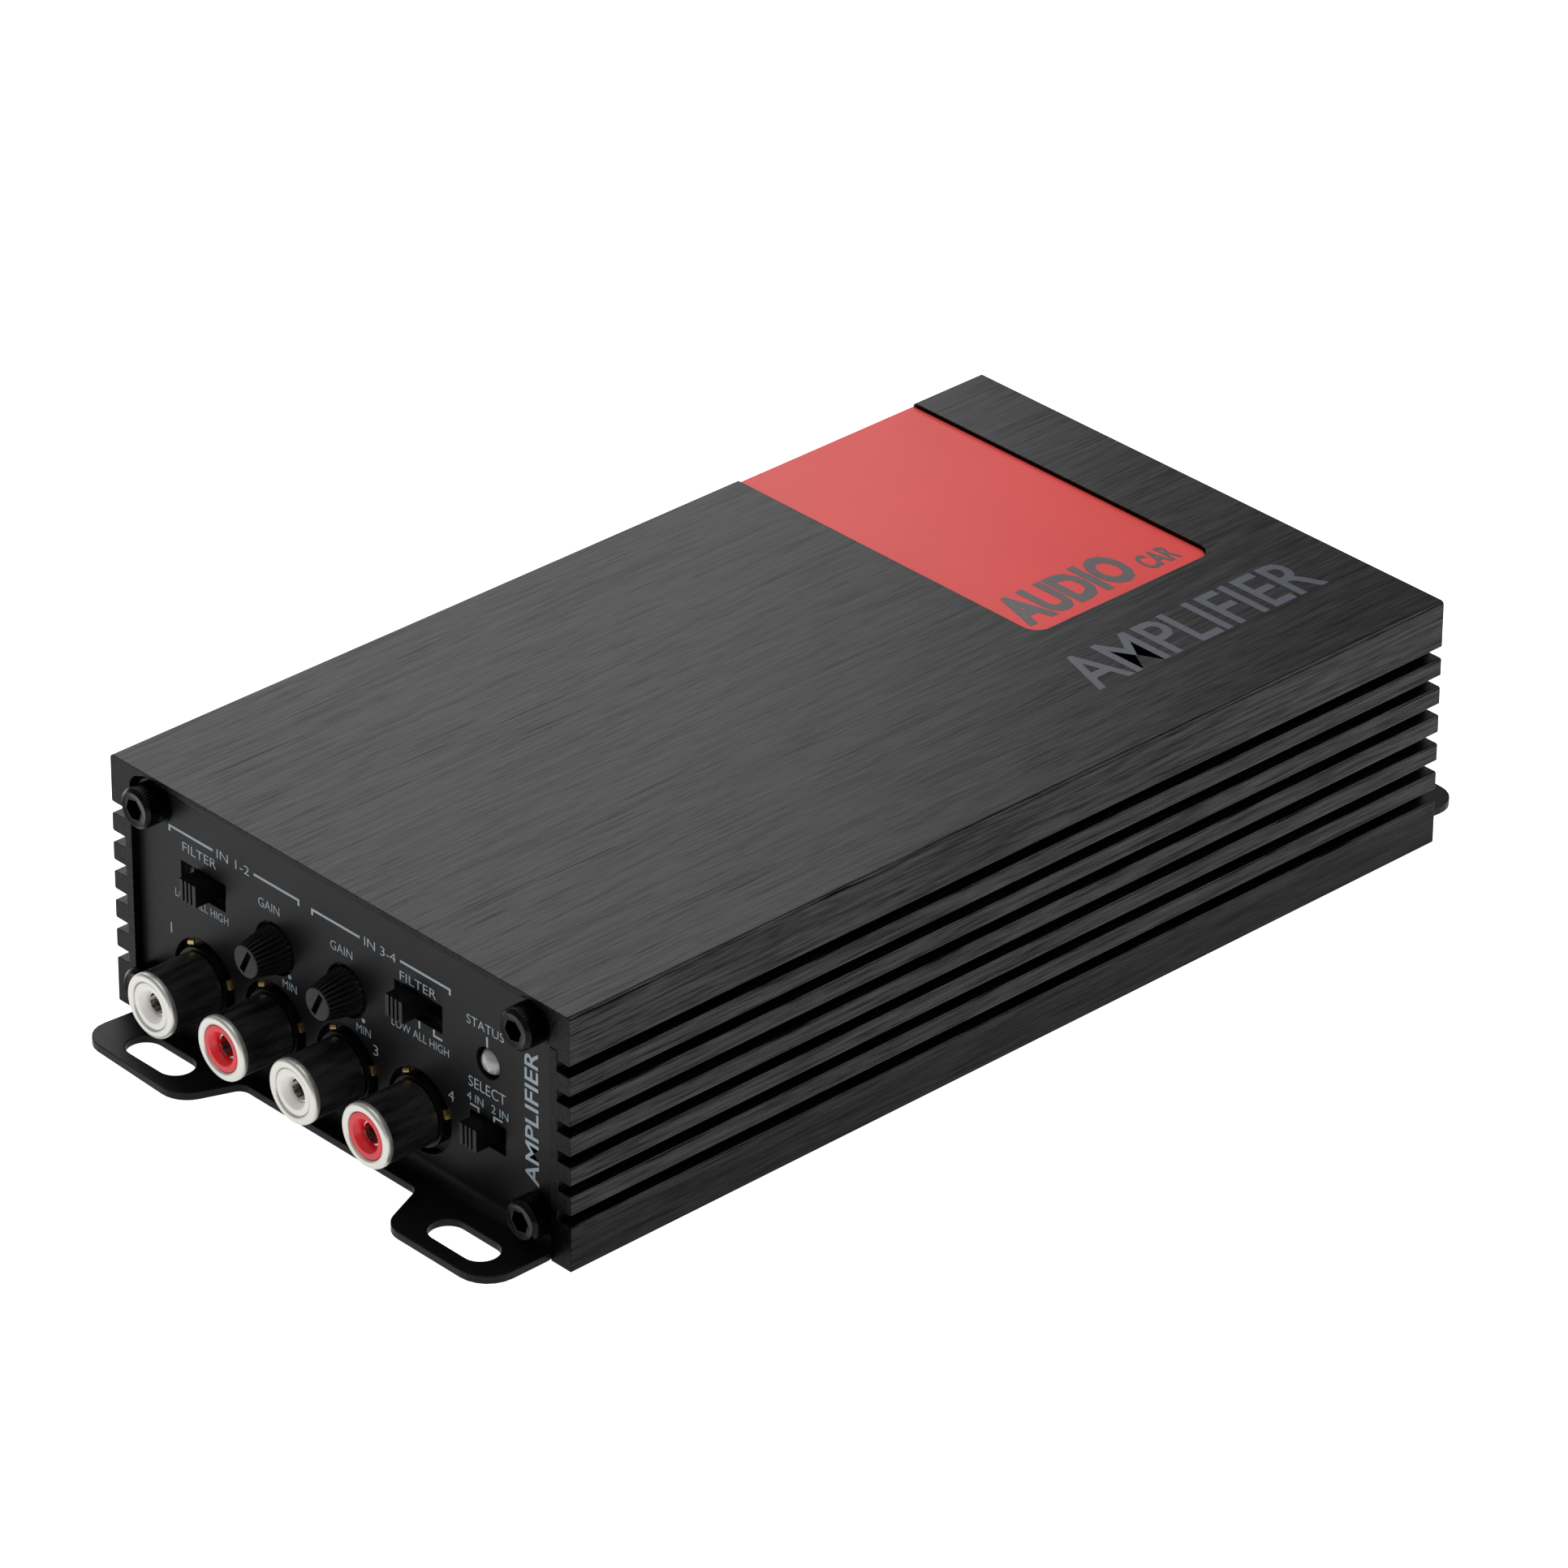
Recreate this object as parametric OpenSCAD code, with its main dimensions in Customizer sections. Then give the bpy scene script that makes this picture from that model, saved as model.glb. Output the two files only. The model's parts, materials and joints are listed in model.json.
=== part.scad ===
// Compact four-channel car amplifier: two aluminium extrusions held together
// by a bent steel bracket at each end. Millimetres, +Z up, front faces -Y.
// The origin is the centre of the base, in the plane the feet stand on.

/* [Body] */
// Width over the fins
body_w = 81; // [80:0.5:82]
// Length of both extrusions
body_l = 142.8; // [136:0.2:180]
// Height of the closed body
body_h = 34; // [34:0.5:36]
// Thickness of the cover's top plate
cover_t = 2.8; // [2.4:0.1:3]
// Thickness of the chassis floor
floor_t = 2; // [1.6:0.1:2.4]

/* [Fins] */
// Depth of the cooling slots
slot_depth = 2.25; // [1.5:0.05:2.5]
// Height of each cooling slot
slot_h = 1.52; // [1.2:0.02:1.8]
// Distance between slots
slot_pitch = 4; // [3.9:0.02:4]
// Height of the solid block below the lowest slot
base_block_h = 6.05; // [5.8:0.05:6.1]

/* [Brackets] */
// Thickness of the bracket sheet
sheet_t = 1; // [0.9:0.1:1.2]
// How far the faceplate sits inside the extrusion's end
recess = 1.05; // [0.8:0.05:1.2]
// How far the feet reach out from the end
foot_reach = 10; // [9.5:0.1:12]
// Length of each mounting slot
foot_slot_l = 10.5; // [9:0.1:11]
// Width of each mounting slot
foot_slot_w = 4.8; // [4.5:0.1:5.4]

/* [Controls] */
// Distance between RCA jacks
jack_pitch = 12.9; // [12.7:0.05:13]
// Outer diameter of the RCA shell
jack_d = 8.3; // [8.2:0.05:8.3]
// Travel of a slide switch between two positions
switch_step = 1.5; // [1:0.1:1.5]
// Angle of the slot in the level knobs
knob_slot_angle = -27; // [-60:1:60]

/* [Hidden] */

$fn = 64;
overcut = 1;             // how far a cutter passes the face it cuts
fit_gap = 0.15;          // clearance between the two extrusions
half_w = body_w / 2;
half_l = body_l / 2;

// Extrusions
fin_count = 5;
fin_h = slot_pitch - slot_h;
slot_floor_x = half_w - slot_depth;
wall_t = 1.2;
wall_in_x = slot_floor_x - wall_t;
rim_z = base_block_h + fin_count * slot_pitch + slot_h;
wall_top_z = rim_z + 1.18;
edge_r = 0.5;
arris_r = 0.25;
base_arris_r = 0.15;
ceiling_z = body_h - cover_t;
lip_t = 0.8;
pocket_r = 2.2;
pocket_d = recess + sheet_t + 0.05;
relief_r = 3.4;
boss_r = 3.3;
boss_hole_r = 1.5;
boss_l = 16;

// Screws
top_screw_x = 33.5;
top_screw_z = 30.2;
low_screw_x = 34.3;
low_screw_z = 4.95;
top_washer_r = 2.9;
low_washer_r = 2.25;
screw_sites = [
    [-top_screw_x, top_screw_z, top_washer_r], [top_screw_x, top_screw_z, top_washer_r],
    [-low_screw_x, low_screw_z, low_washer_r], [low_screw_x, low_screw_z, low_washer_r]
];
screw_hole_r = 1.7;
cap_r = 2.65;
cap_h = 3;
cap_bevel = 0.4;
cap_hex = 2.5;
button_r = 2.7;
button_h = 1.65;
button_hex = 2;
shank_r = 1.45;
shank_l = 10;
washer_hole_r = 1.6;
washer_t = 0.4;

// Window in the top
window_x = 12.75;
window_y = [29.2, 59.7];
window_r = 2.2;
window_recess = 0.5;
window_t = 1.5;
window_ledge = 3;

// Faceplate
plate_y = -half_l + recess;
plate_back_y = plate_y + sheet_t;
plate_half_w = wall_in_x - 0.05;
plate_top_z = body_h - 1.55;
plate_r = 2;
bend_in_r = 1.6;
bend_out_r = bend_in_r + sheet_t;
bend_y = plate_y - bend_in_r;
foot_left_x = -35.9;
foot_right_x = 36.9;
foot_slot_x = [-26.1, 28.25];
foot_slot_y = half_l + 5.5;

// Jacks
jack_x = [for (i = [0:3]) -25.5 + i * jack_pitch];
jack_z = 8.8;
jack_hole_r = 5.5;
jack_front_y = -half_l - 7.5;
shell_end_y = -half_l + 0.6;
shell_in_r = 3.5;
shell_mouth_r = 3.05;
contact_r = 1.6;
contact_wall = 0.3;
housing_w = 10.6;
board_y = -half_l + 7.8;
board_t = 1.6;

// Level controls
knob_x = [-12.35, 0.45];
knob_z = 19.2;
knob_front_y = -half_l - 3.4;
knob_face_r = 2.15;
knob_base_r = 3.1;
knob_hole_r = 3.45;
flute_count = 24;
stem_r = 1.5;
stem_bore_r = 1.55;
pot_w = 9;

// Slide switches: centre x, centre z, window width, slider offset, last step
window_h = 3.7;
front_filter = [-25.15, 22.1, 8.1, 0];
rear_filter = [13.25, 22.9, 8.3, -1];
mode = [25.15, 11.35, 6.2, -0.5];
slider_w = 2.9;
slider_h = 2.9;
slider_front_y = -half_l - 1.4;
carriage_w = 3.9;
carriage_h = 3.9;
switch_gap = 0.3;
switch_wall = 0.9;

// Lamp
lamp_x = 25.3;
lamp_z = 20.7;
lamp_r = 1.8;
lamp_hole_r = 2.05;

// Boards
main_board_z = 8.8;
main_board_y = [board_y + board_t + 0.6, half_l - 15.6];
main_board_half_w = 36.6;
standoff_sites = [for (x = [-27.5, 27.5], y = [-52, 52]) [x, y]];
light_board_z = ceiling_z - 3.2;
light_board_t = 1;

// Clamp that holds the power transistors to the right wall
clamp_screw_y = [-24.5, 1.5];
clamp_x = wall_in_x - 7.2;
clamp_z = 17.5;
clamp_thread = 1;

// Rear sockets: centre x, centre z, outer width, outer height
power_site = [20.5, 14.6, 22, 12];
speaker_site = [-18.5, 14.6, 29, 12];
fuse_site = [-0.2, 24.6, 17, 6.6];
socket_wall = 1.2;
socket_out = 3;
socket_depth = 15;
rear_y = half_l;

// Corner of an outline replaced by an arc that touches both sides
function unit(v) = v / norm(v);
function rounded_corner(before, corner, after, r, steps = 6) =
    let (a = unit(before - corner), b = unit(after - corner))
    let (half = acos(a * b) / 2, reach = r / tan(half))
    let (centre = corner + unit(a + b) * r / sin(half))
    let (p = corner + a * reach - centre, q = corner + b * reach - centre)
    let (turn = 180 - 2 * half)
    [for (i = [0:steps])
        let (k = turn * i / steps)
        centre + (p * sin(turn - k) + q * sin(k)) / sin(turn)];

// Closed outline from [x, y, radius] corners
function rounded_outline(c) =
    let (n = len(c))
    [for (i = [0:n - 1])
        let (here = [c[i][0], c[i][1]])
        let (back = [c[(i + n - 1) % n][0], c[(i + n - 1) % n][1]])
        let (next = [c[(i + 1) % n][0], c[(i + 1) % n][1]])
        for (p = c[i][2] > 0 ? rounded_corner(back, here, next, c[i][2]) : [here]) p];

module both_sides() {
    children();
    mirror([1, 0, 0]) children();
}

// Extrudes an X-Z outline from y0 to y1
module along_y(y0, y1) {
    translate([0, y1, 0]) rotate([90, 0, 0]) linear_extrude(y1 - y0) children();
}

module rod_y(x, z, y0, y1, r) {
    translate([x, y1, z]) rotate([90, 0, 0]) cylinder(r = r, h = y1 - y0);
}

module block(x, y, z) {
    translate([x[0], y[0], z[0]]) cube([x[1] - x[0], y[1] - y[0], z[1] - z[0]]);
}

// Body of the amplifier --------------------------------------------------

module bracket_pocket_outline() {
    polygon(rounded_outline([
        [-wall_in_x, -overcut, 0], [wall_in_x, -overcut, 0],
        [wall_in_x, body_h - lip_t, pocket_r], [-wall_in_x, body_h - lip_t, pocket_r]
    ]));
    for (x = [-top_screw_x, top_screw_x]) translate([x, top_screw_z]) circle(r = relief_r);
}

module end_pockets() {
    for (side = [0, 1]) mirror([0, side, 0])
        along_y(-half_l - overcut, -half_l + pocket_d) bracket_pocket_outline();
}

module boss_outline(x, z) {
    for (side = [-1, 1]) translate([side * x, z]) circle(r = boss_r);
}

module boss_holes(x, z) {
    for (side = [0, 1]) mirror([0, side, 0])
        both_sides() rod_y(x, z, -half_l - overcut, -half_l + boss_l, boss_hole_r);
}

module cover_outline() {
    seam_z = wall_top_z + fit_gap;
    seam_x = slot_floor_x + fit_gap;
    corner_x = wall_in_x - 0.6;
    polygon(rounded_outline([
        [seam_x, rim_z, 0], [half_w, rim_z, arris_r], [half_w, body_h, edge_r],
        [-half_w, body_h, edge_r], [-half_w, rim_z, arris_r], [-seam_x, rim_z, 0],
        [-seam_x, seam_z, 0], [-corner_x, seam_z, 0], [-corner_x, ceiling_z, 0],
        [corner_x, ceiling_z, 0], [corner_x, seam_z, 0], [seam_x, seam_z, 0]
    ]));
    boss_outline(top_screw_x, top_screw_z);
}

module window_outline(inset) {
    polygon(rounded_outline([
        [-half_w - overcut, window_y[0] + inset, 0],
        [window_x - inset, window_y[0] + inset, window_r],
        [window_x - inset, window_y[1] - inset, window_r],
        [-half_w - overcut, window_y[1] - inset, 0]
    ]));
}

module top_cover() {
    seat_z = body_h - window_recess - window_t;
    color([0.16, 0.16, 0.17]) difference() {
        along_y(-half_l, half_l) cover_outline();
        end_pockets();
        boss_holes(top_screw_x, top_screw_z);
        translate([0, 0, seat_z]) linear_extrude(body_h) window_outline(0);
        block([-27, window_x - window_ledge],
              [window_y[0] + window_ledge, window_y[1] - window_ledge],
              [ceiling_z - overcut, body_h]);
    }
}

// Right side of the chassis from the underside up to the wall's top
function chassis_side() = concat(
    [[half_w, 0, base_arris_r], [half_w, base_block_h, arris_r], [slot_floor_x, base_block_h, 0]],
    [for (i = [0:fin_count - 1])
        let (z = base_block_h + slot_h + i * slot_pitch)
        for (p = [
            [slot_floor_x, z, 0], [half_w, z, arris_r],
            [half_w, z + fin_h, arris_r], [slot_floor_x, z + fin_h, 0]
        ]) p],
    [[slot_floor_x, wall_top_z, 0], [wall_in_x, wall_top_z, 0], [wall_in_x, floor_t, 0]]);

function mirrored(c) = [for (i = [len(c) - 1:-1:0]) [-c[i][0], c[i][1], c[i][2]]];

module chassis_outline() {
    polygon(rounded_outline(concat(chassis_side(), mirrored(chassis_side()))));
    boss_outline(low_screw_x, low_screw_z);
}

module lower_chassis() {
    color([0.13, 0.13, 0.14]) difference() {
        along_y(-half_l, half_l) chassis_outline();
        end_pockets();
        boss_holes(low_screw_x, low_screw_z);
        clamp_bores(wall_in_x - overcut, wall_in_x + clamp_thread, boss_hole_r);
    }
}

module window_panel() {
    clearance = 0.12;
    color([0.85, 0.2, 0.18, 0.85])
    translate([0, 0, body_h - window_recess - window_t]) linear_extrude(window_t)
    difference() {
        window_outline(clearance);
        translate([-half_w - 2 * overcut, window_y[0] - overcut])
            square([2 * overcut + 0.1, window_y[1] - window_y[0] + 2 * overcut]);
    }
}

// Light board that hangs on four posts under the ledges beside the window
module window_light_board() {
    x = [-29.7, window_x - 0.35];
    y = [window_y[0] + 5, window_y[1] - 5];
    top_z = light_board_z + light_board_t;
    post_r = 1.2;
    lamp_count = 6;
    lamp_pitch = 5.6;
    color([0.9, 0.9, 0.88]) block(x, y, [light_board_z, top_z]);
    color([1, 0.95, 0.85]) for (i = [0:lamp_count - 1])
        translate([x[0] + 6 + i * lamp_pitch, (y[0] + y[1]) / 2 - 1.75, top_z]) cube([2.8, 3.5, 1]);
    color([0.8, 0.8, 0.8]) for (cx = [x[0] + 1.3, x[1] - 1.3], cy = [y[0] + 1.3, y[1] - 1.3])
        translate([cx, cy, top_z]) cylinder(r = post_r, h = ceiling_z - top_z);
}

module window_light_ribbon() {
    low_z = main_board_z + board_t;
    ribbon_t = 0.4;
    y = [40, 46.6];
    color([0.75, 0.75, 0.72]) translate([-27.5, 0, 0]) rotate([90, 0, 90]) linear_extrude(4)
        polygon([[y[0], light_board_z], [y[0], light_board_z - ribbon_t], [y[1], light_board_z - ribbon_t],
                 [y[1], low_z], [y[1] + ribbon_t, low_z], [y[1] + ribbon_t, light_board_z]]);
}

// Brackets ----------------------------------------------------------------

module slotted_hole(l, w) {
    square([l - w, w], center = true);
    for (side = [-1, 1]) translate([side * (l - w) / 2, 0]) circle(d = w);
}

// Feet in plan, with the edge of the web between them
module foot_outline() {
    reach_y = -half_l - foot_reach;
    web_y = -half_l - 2.3;
    polygon(rounded_outline([
        [foot_left_x, bend_y, 0], [foot_left_x - 0.7, reach_y + 0.7, 3.4],
        [-17.8, reach_y, 4], [-14.8, web_y, 1.6], [16.4, web_y, 1.6],
        [19.6, reach_y, 3.2], [foot_right_x, reach_y, 4.3], [foot_right_x, bend_y, 0]
    ]));
}

module faceplate_outline() {
    polygon(rounded_outline([
        [-plate_half_w, bend_out_r, 0], [plate_half_w, bend_out_r, 0],
        [plate_half_w, plate_top_z, plate_r], [-plate_half_w, plate_top_z, plate_r]
    ]));
}

// Bent sheet with its faceplate cut by the outline given as children
module bracket() {
    difference() {
        union() {
            along_y(plate_y, plate_back_y) faceplate_outline();
            translate([foot_left_x, bend_y, bend_out_r]) rotate([0, 90, 0])
                rotate_extrude(angle = 90) translate([bend_in_r, 0])
                    square([sheet_t, foot_right_x - foot_left_x]);
            linear_extrude(sheet_t) foot_outline();
        }
        for (x = foot_slot_x) translate([x, -foot_slot_y, -overcut])
            linear_extrude(sheet_t + 2 * overcut) slotted_hole(foot_slot_l, foot_slot_w);
        for (s = screw_sites) rod_y(s[0], s[1], plate_y - overcut, plate_back_y + overcut, screw_hole_r);
        along_y(plate_y - overcut, plate_back_y + overcut) children();
    }
}

module switch_window(s) {
    translate([s[0] - s[2] / 2, s[1] - window_h / 2]) square([s[2], window_h]);
}

module front_bracket() {
    color([0.12, 0.12, 0.12]) bracket() {
        union() {
            for (x = jack_x) translate([x, jack_z]) circle(r = jack_hole_r);
            for (x = knob_x) translate([x, knob_z]) circle(r = knob_hole_r);
            for (s = [front_filter, rear_filter, mode]) switch_window(s);
            translate([lamp_x, lamp_z]) circle(r = lamp_hole_r);
        }
    }
}

module socket_window(s) {
    gap = 0.2;
    translate([s[0], s[1]]) square([s[2] + 2 * gap, s[3] + 2 * gap], center = true);
}

// The same sheet as the front bracket, turned round
module rear_bracket() {
    color([0.12, 0.12, 0.12]) rotate([0, 0, 180]) bracket() {
        union() {
            for (s = [power_site, speaker_site, fuse_site]) socket_window([-s[0], s[1], s[2], s[3]]);
        }
    }
}

// Screws --------------------------------------------------------------------

// Screw turned about its own axis; the head's profile is [radius, distance from its front]
module socket_screw(x, z, profile, head_h, hex_af, hex_depth) {
    seat_y = plate_y - washer_t;
    translate([x, seat_y - head_h, z]) rotate([-90, 0, 0]) difference() {
        rotate_extrude() polygon(concat(profile, [
            [shank_r, head_h], [shank_r, head_h + shank_l], [0, head_h + shank_l], [0, 0]
        ]));
        translate([0, 0, -overcut]) cylinder(r = hex_af / 2 / cos(30), h = overcut + hex_depth, $fn = 6);
    }
}

module front_screws() {
    profile = [[cap_r - cap_bevel, 0], [cap_r, cap_bevel], [cap_r, cap_h]];
    color([0.1, 0.1, 0.1]) for (s = screw_sites) socket_screw(s[0], s[1], profile, cap_h, cap_hex, 1.6);
}

module rear_screws() {
    face_r = 1.6;
    rim_h = 0.25;
    steps = 6;
    profile = [for (i = [0:steps])
        let (a = 90 * i / steps)
        [face_r + (button_r - face_r) * sin(a), (button_h - rim_h) * (1 - cos(a))]];
    color([0.1, 0.1, 0.1]) mirror([0, 1, 0]) for (s = screw_sites)
        socket_screw(s[0], s[1], concat(profile, [[button_r, button_h]]), button_h, button_hex, 1);
}

module lock_washers() {
    color([0.2, 0.2, 0.2]) for (side = [0, 1], s = screw_sites) mirror([0, side, 0]) difference() {
        rod_y(s[0], s[1], plate_y - washer_t, plate_y, s[2]);
        rod_y(s[0], s[1], plate_y - overcut, plate_y + overcut, washer_hole_r);
    }
}

// RCA jacks ------------------------------------------------------------------

// Places a solid of revolution drawn as [radius, distance from the jack's front]
module jack_turned(i) {
    translate([jack_x[i], jack_front_y, jack_z]) rotate([-90, 0, 0]) rotate_extrude() children();
}

module rca_shell(i) {
    outer = jack_d / 2;
    depth = shell_end_y - jack_front_y;
    lip = 0.7;
    color([0.75, 0.75, 0.74]) jack_turned(i) polygon(rounded_outline([
        [shell_mouth_r, 0, 0.25], [outer, 0, 0.45], [outer, depth, 0.3],
        [shell_in_r, depth, 0], [shell_in_r, lip, 0], [shell_mouth_r, lip, 0.2]
    ]));
}

module rca_insulator(i) {
    paint = i % 2 == 0 ? [0.92, 0.91, 0.88] : [0.85, 0.08, 0.1];
    sleeve_r = contact_r + contact_wall + 0.02;
    face = 0.2;
    face_in_r = 2.15;
    funnel = 0.9;
    throat = 4;
    tail = 12.4;
    body_r = shell_in_r - 0.05;
    color(paint) jack_turned(i) polygon([
        [face_in_r, face], [shell_mouth_r - 0.05, face], [shell_mouth_r - 0.05, 0.8],
        [body_r, 0.8], [body_r, tail], [sleeve_r, tail], [sleeve_r, throat],
        [contact_r, throat], [contact_r, face + funnel]
    ]);
}

module rca_contacts() {
    from_y = jack_front_y + 4;
    color([0.95, 0.85, 0.5]) for (x = jack_x) difference() {
        rod_y(x, jack_z, from_y, from_y + 7.5, contact_r + contact_wall);
        rod_y(x, jack_z, from_y - overcut, from_y + 6.5, contact_r);
    }
}

module rca_housings() {
    collar_r = 4.5;
    back = board_y;
    color([0.07, 0.07, 0.07]) for (x = jack_x) difference() {
        union() {
            block([x - housing_w / 2, x + housing_w / 2], [plate_back_y + 0.25, back],
                  [jack_z - 5.2, jack_z + 5.2]);
            rod_y(x, jack_z, shell_end_y, plate_back_y + 0.3, collar_r);
        }
        rod_y(x, jack_z, shell_end_y - overcut, back - 1.6, shell_in_r);
    }
}

// Level controls -------------------------------------------------------------

module level_knob(i) {
    flute_r = 0.2;
    waist = 4.6;
    stem_l = 9.5;
    slot_w = 0.9;
    slot_l = 3.3;
    taper = atan((knob_base_r - knob_face_r) / waist);
    color([0.09, 0.09, 0.1]) translate([knob_x[i], knob_front_y, knob_z]) rotate([-90, 0, 0])
    difference() {
        union() {
            rotate_extrude() polygon([
                [0, 0], [knob_face_r - 0.15, 0], [knob_face_r, 0.15],
                [knob_base_r, waist], [knob_base_r, waist + 1], [0, waist + 1]
            ]);
            cylinder(r = stem_r, h = stem_l);
        }
        rotate([0, 0, knob_slot_angle]) translate([-slot_w / 2, -slot_l / 2, -overcut])
            cube([slot_w, slot_l, overcut + slot_w]);
        for (k = [0:flute_count - 1]) rotate([0, 0, k * 360 / flute_count])
            translate([knob_face_r, 0, 0]) rotate([0, taper, 0]) translate([0, 0, -overcut])
                cylinder(r = flute_r, h = waist + overcut, $fn = 16);
    }
}

module level_pot(i) {
    front = plate_back_y + 0.35;
    color([0.15, 0.2, 0.3]) difference() {
        block([knob_x[i] - pot_w / 2, knob_x[i] + pot_w / 2], [front, board_y],
              [knob_z - pot_w / 2, knob_z + pot_w / 2]);
        rod_y(knob_x[i], knob_z, front - overcut, board_y - 0.6, stem_bore_r);
    }
}

// Slide switches ---------------------------------------------------------------

module switch_slider(s) {
    x = s[0] + s[3] * switch_step;
    carriage_y = plate_back_y + 1.5;
    ridge = 0.35;
    color([0.1, 0.1, 0.1]) difference() {
        union() {
            block([x - slider_w / 2, x + slider_w / 2], [slider_front_y, carriage_y + 1],
                  [s[1] - slider_h / 2, s[1] + slider_h / 2]);
            block([x - carriage_w / 2, x + carriage_w / 2], [carriage_y, carriage_y + 2],
                  [s[1] - carriage_h / 2, s[1] + carriage_h / 2]);
        }
        for (k = [-1:1]) block([x + k * 2 * ridge - ridge / 2, x + k * 2 * ridge + ridge / 2],
                               [slider_front_y - overcut, slider_front_y + ridge],
                               [s[1] - slider_h, s[1] + slider_h]);
    }
}

// Box with a slot for the stem and a cavity for the carriage
module switch_body(s, steps) {
    front = plate_back_y + 0.25;
    travel = steps * switch_step;
    cavity_w = carriage_w + travel + 2 * switch_gap;
    cavity_h = carriage_h + 2 * switch_gap;
    stem_w = slider_w + travel + 2 * switch_gap;
    stem_h = slider_h + 2 * switch_gap;
    color([0.6, 0.6, 0.62]) difference() {
        block([s[0] - cavity_w / 2 - switch_wall, s[0] + cavity_w / 2 + switch_wall], [front, board_y],
              [s[1] - cavity_h / 2 - switch_wall, s[1] + cavity_h / 2 + switch_wall]);
        block([s[0] - cavity_w / 2, s[0] + cavity_w / 2], [front + 0.9, front + 4],
              [s[1] - cavity_h / 2, s[1] + cavity_h / 2]);
        block([s[0] - stem_w / 2, s[0] + stem_w / 2], [front - overcut, front + 2],
              [s[1] - stem_h / 2, s[1] + stem_h / 2]);
    }
}

module status_lamp() {
    color([0.85, 0.85, 0.85]) translate([lamp_x, plate_y - 0.4, lamp_z]) rotate([-90, 0, 0])
        rotate_extrude() polygon([
            for (a = [0:10:90]) [lamp_r * sin(a), 1.6 - 1.6 * cos(a)],
            [lamp_r, 3.6], [lamp_r + 0.4, 3.6], [lamp_r + 0.4, 4.6], [0, 4.6]
        ]);
    color([0.8, 0.8, 0.8]) for (side = [-1, 1])
        rod_y(lamp_x + side * 1.27, lamp_z, plate_y + 4, board_y, 0.25);
}

// Boards -------------------------------------------------------------------------

module control_board() {
    color([0.05, 0.3, 0.15]) block([-30.4, 30.4], [board_y, board_y + board_t], [3.2, 26.6]);
}

// Board that stands clear above the lower screw bosses
module main_board() {
    color([0.05, 0.35, 0.18]) difference() {
        block([-main_board_half_w, main_board_half_w], main_board_y, [main_board_z, main_board_z + board_t]);
        for (s = standoff_sites) translate([s[0], s[1], main_board_z - overcut]) cylinder(r = 1.7, h = 4);
    }
}

module link_header() {
    color([0.1, 0.1, 0.1]) block([-10, 10], [board_y + board_t, board_y + board_t + 5],
                                 [main_board_z + board_t, main_board_z + board_t + 2.5]);
}

module board_standoffs() {
    color([0.8, 0.7, 0.4]) for (s = standoff_sites) translate([s[0], s[1], floor_t]) difference() {
        cylinder(r = 2.8, h = main_board_z - floor_t);
        translate([0, 0, 0.6]) cylinder(r = 1.3, h = main_board_z);
    }
}

module board_screws() {
    color([0.75, 0.75, 0.78]) for (s = standoff_sites) translate([s[0], s[1], main_board_z + board_t]) {
        difference() {
            cylinder(r = 2.7, h = 1.9);
            for (a = [0, 90]) rotate([0, 0, a]) translate([-1.5, -0.3, 0.8]) cube([3, 0.6, 2]);
        }
        translate([0, 0, -5]) cylinder(r = 1.25, h = 5.1);
    }
}

// Rear sockets ------------------------------------------------------------------------

module rear_socket(s) {
    x = [s[0] - s[2] / 2, s[0] + s[2] / 2];
    z = [s[1] - s[3] / 2, s[1] + s[3] / 2];
    y = [rear_y - socket_depth, rear_y + socket_out];
    latch_w = 4;
    difference() {
        union() {
            block(x, y, z);
            block([s[0] - latch_w / 2, s[0] + latch_w / 2], [rear_y + 0.2, y[1] - 0.6],
                  [z[1] - 0.1, z[1] + 1.1]);
        }
        block([x[0] + socket_wall, x[1] - socket_wall], [y[0] + 4, y[1] + overcut],
              [z[0] + socket_wall, z[1] - socket_wall]);
    }
}

module power_socket() {
    color([0.12, 0.12, 0.12]) rear_socket(power_site);
}

module speaker_socket() {
    color([0.88, 0.86, 0.8]) rear_socket(speaker_site);
}

function contact_grid(s, columns, rows, pitch) =
    [for (i = [0:columns - 1], j = [0:rows - 1])
        [s[0] + (i - (columns - 1) / 2) * pitch, s[1] + (j - (rows - 1) / 2) * pitch]];

module socket_contacts(s, columns, rows, pitch, w, h) {
    y = [rear_y - socket_depth + 4, rear_y - 3];
    for (c = contact_grid(s, columns, rows, pitch))
        block([c[0] - w / 2, c[0] + w / 2], y, [c[1] - h / 2, c[1] + h / 2]);
}

module power_blades() {
    color([0.85, 0.8, 0.6]) socket_contacts(power_site, 3, 1, 6.2, 0.8, 6.3);
}

module speaker_pins() {
    color([0.85, 0.8, 0.6]) socket_contacts(speaker_site, 6, 2, 4.2, 1.1, 1.1);
}

module fuse_holder() {
    x = [fuse_site[0] - fuse_site[2] / 2, fuse_site[0] + fuse_site[2] / 2];
    z = [fuse_site[1] - fuse_site[3] / 2, fuse_site[1] + fuse_site[3] / 2];
    color([0.1, 0.1, 0.1]) difference() {
        block(x, [rear_y - socket_depth, rear_y + 0.4], z);
        block([fuse_site[0] - 7, fuse_site[0] + 7], [rear_y - 4, rear_y + overcut],
              [fuse_site[1] - 1.9, fuse_site[1] + 1.9]);
        for (side = [-1, 1])
            block([fuse_site[0] + side * 3.9 - 1.6, fuse_site[0] + side * 3.9 + 1.6],
                  [rear_y - 14, rear_y], [fuse_site[1] - 0.5, fuse_site[1] + 0.5]);
    }
}

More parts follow.
